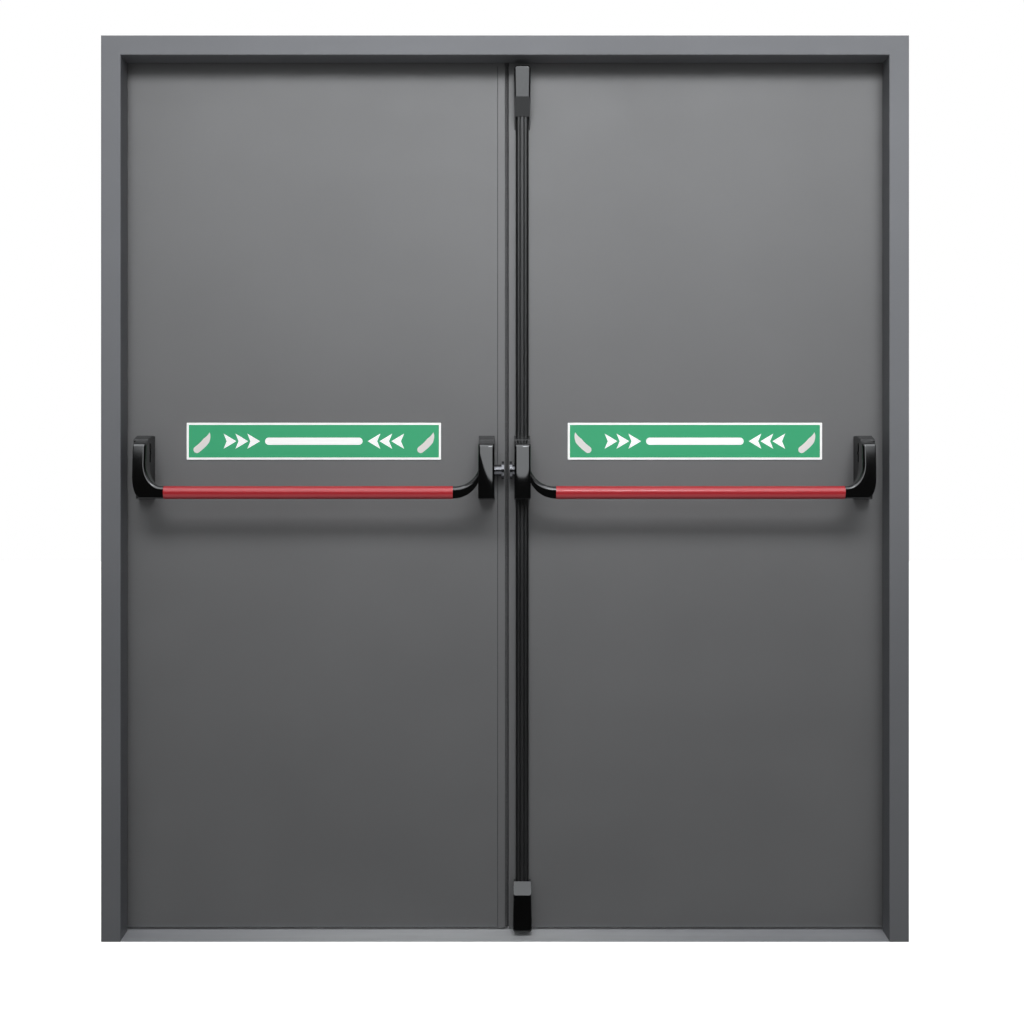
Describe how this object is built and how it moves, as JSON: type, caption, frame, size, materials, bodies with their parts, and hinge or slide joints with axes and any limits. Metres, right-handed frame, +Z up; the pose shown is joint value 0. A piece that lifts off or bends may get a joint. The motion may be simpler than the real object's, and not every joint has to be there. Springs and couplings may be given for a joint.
{
  "type": "double fire door with push bars",
  "caption": "Grey steel double fire door in a folded steel frame, with red push bars, black end levers, green sign plates and covered vertical bolts on the right leaf.",
  "frame": {"origin": "on the floor at the middle of the sill's underside, half-way through the frame's depth", "axes": "+X to the right of someone about to push the bars, +Y out through the doorway, +Z up"},
  "size_m": [1.872, 0.174, 2.1],
  "materials": {
    "frame_paint": "satin",
    "leaf_paint": "satin",
    "sill_metal": "brushed",
    "seal_rubber": "matte",
    "hinge_steel": "satin",
    "black_casting": "gloss",
    "black_cover": "gloss",
    "latch_steel": "satin",
    "bar_red": "gloss",
    "sign_green": "satin"
  },
  "bodies": {
    "frame": {"left_jamb": "frame_paint", "right_jamb": "frame_paint", "head": "frame_paint", "threshold": "sill_metal", "left_jamb_seal": "seal_rubber", "right_jamb_seal": "seal_rubber", "head_seal": "seal_rubber", "left_hinge_frame_halves": "hinge_steel", "right_hinge_frame_halves": "hinge_steel"},
    "left_leaf": {"left_push_skin": "leaf_paint", "left_pull_skin": "leaf_paint", "left_meeting_edge": "leaf_paint", "left_meeting_seal": "seal_rubber", "left_hinge_leaf_halves": "hinge_steel", "left_outer_housing": "black_casting", "left_inner_housing": "black_casting", "left_sign_plate": "sign_green"},
    "right_leaf": {"right_push_skin": "leaf_paint", "right_pull_skin": "leaf_paint", "right_meeting_edge": "leaf_paint", "right_hinge_leaf_halves": "hinge_steel", "right_outer_housing": "black_casting", "right_inner_housing": "black_casting", "right_sign_plate": "sign_green", "right_latch_keeper": "latch_steel", "upper_rod_cover": "black_cover", "lower_rod_cover": "black_cover", "top_latch_cover": "black_cover", "bottom_latch_cover": "black_cover"},
    "left_push_bar": {"left_bar_tube": "bar_red", "left_outer_lever": "black_casting", "left_inner_lever": "black_casting"},
    "right_push_bar": {"right_bar_tube": "bar_red", "right_outer_lever": "black_casting", "right_inner_lever": "black_casting"},
    "left_latch": {"left_latch_bolt": "latch_steel"}
  },
  "joints": [
    {"name": "left_leaf_swing", "type": "hinge", "parent": "frame", "child": "left_leaf", "pos_m": [-0.9025, 0.064, 1.05], "axis": [0, 0, 1], "range_deg": [0, 180]},
    {"name": "right_leaf_swing", "type": "hinge", "parent": "frame", "child": "right_leaf", "pos_m": [0.9025, 0.064, 1.05], "axis": [0, 0, -1], "range_deg": [0, 180]},
    {"name": "left_bar_press", "type": "hinge", "parent": "left_leaf", "child": "left_push_bar", "pos_m": [-0.45, -0.026, 1.134], "axis": [1, 0, 0], "range_deg": [0, 15], "stiffness_Nm_per_rad": 20, "springref_deg": -17.19},
    {"name": "right_bar_press", "type": "hinge", "parent": "right_leaf", "child": "right_push_bar", "pos_m": [0.45, -0.026, 1.134], "axis": [1, 0, 0], "range_deg": [0, 15], "stiffness_Nm_per_rad": 20, "springref_deg": -17.19},
    {"name": "left_latch_draw", "type": "slide", "parent": "left_leaf", "child": "left_latch", "axis": [-1, 0, 0], "range_m": [0, 0.009]}
  ],
  "couplings": [
    {"joint": "left_latch_draw", "follows": "left_bar_press", "m_per_rad": 0.0343}
  ]
}
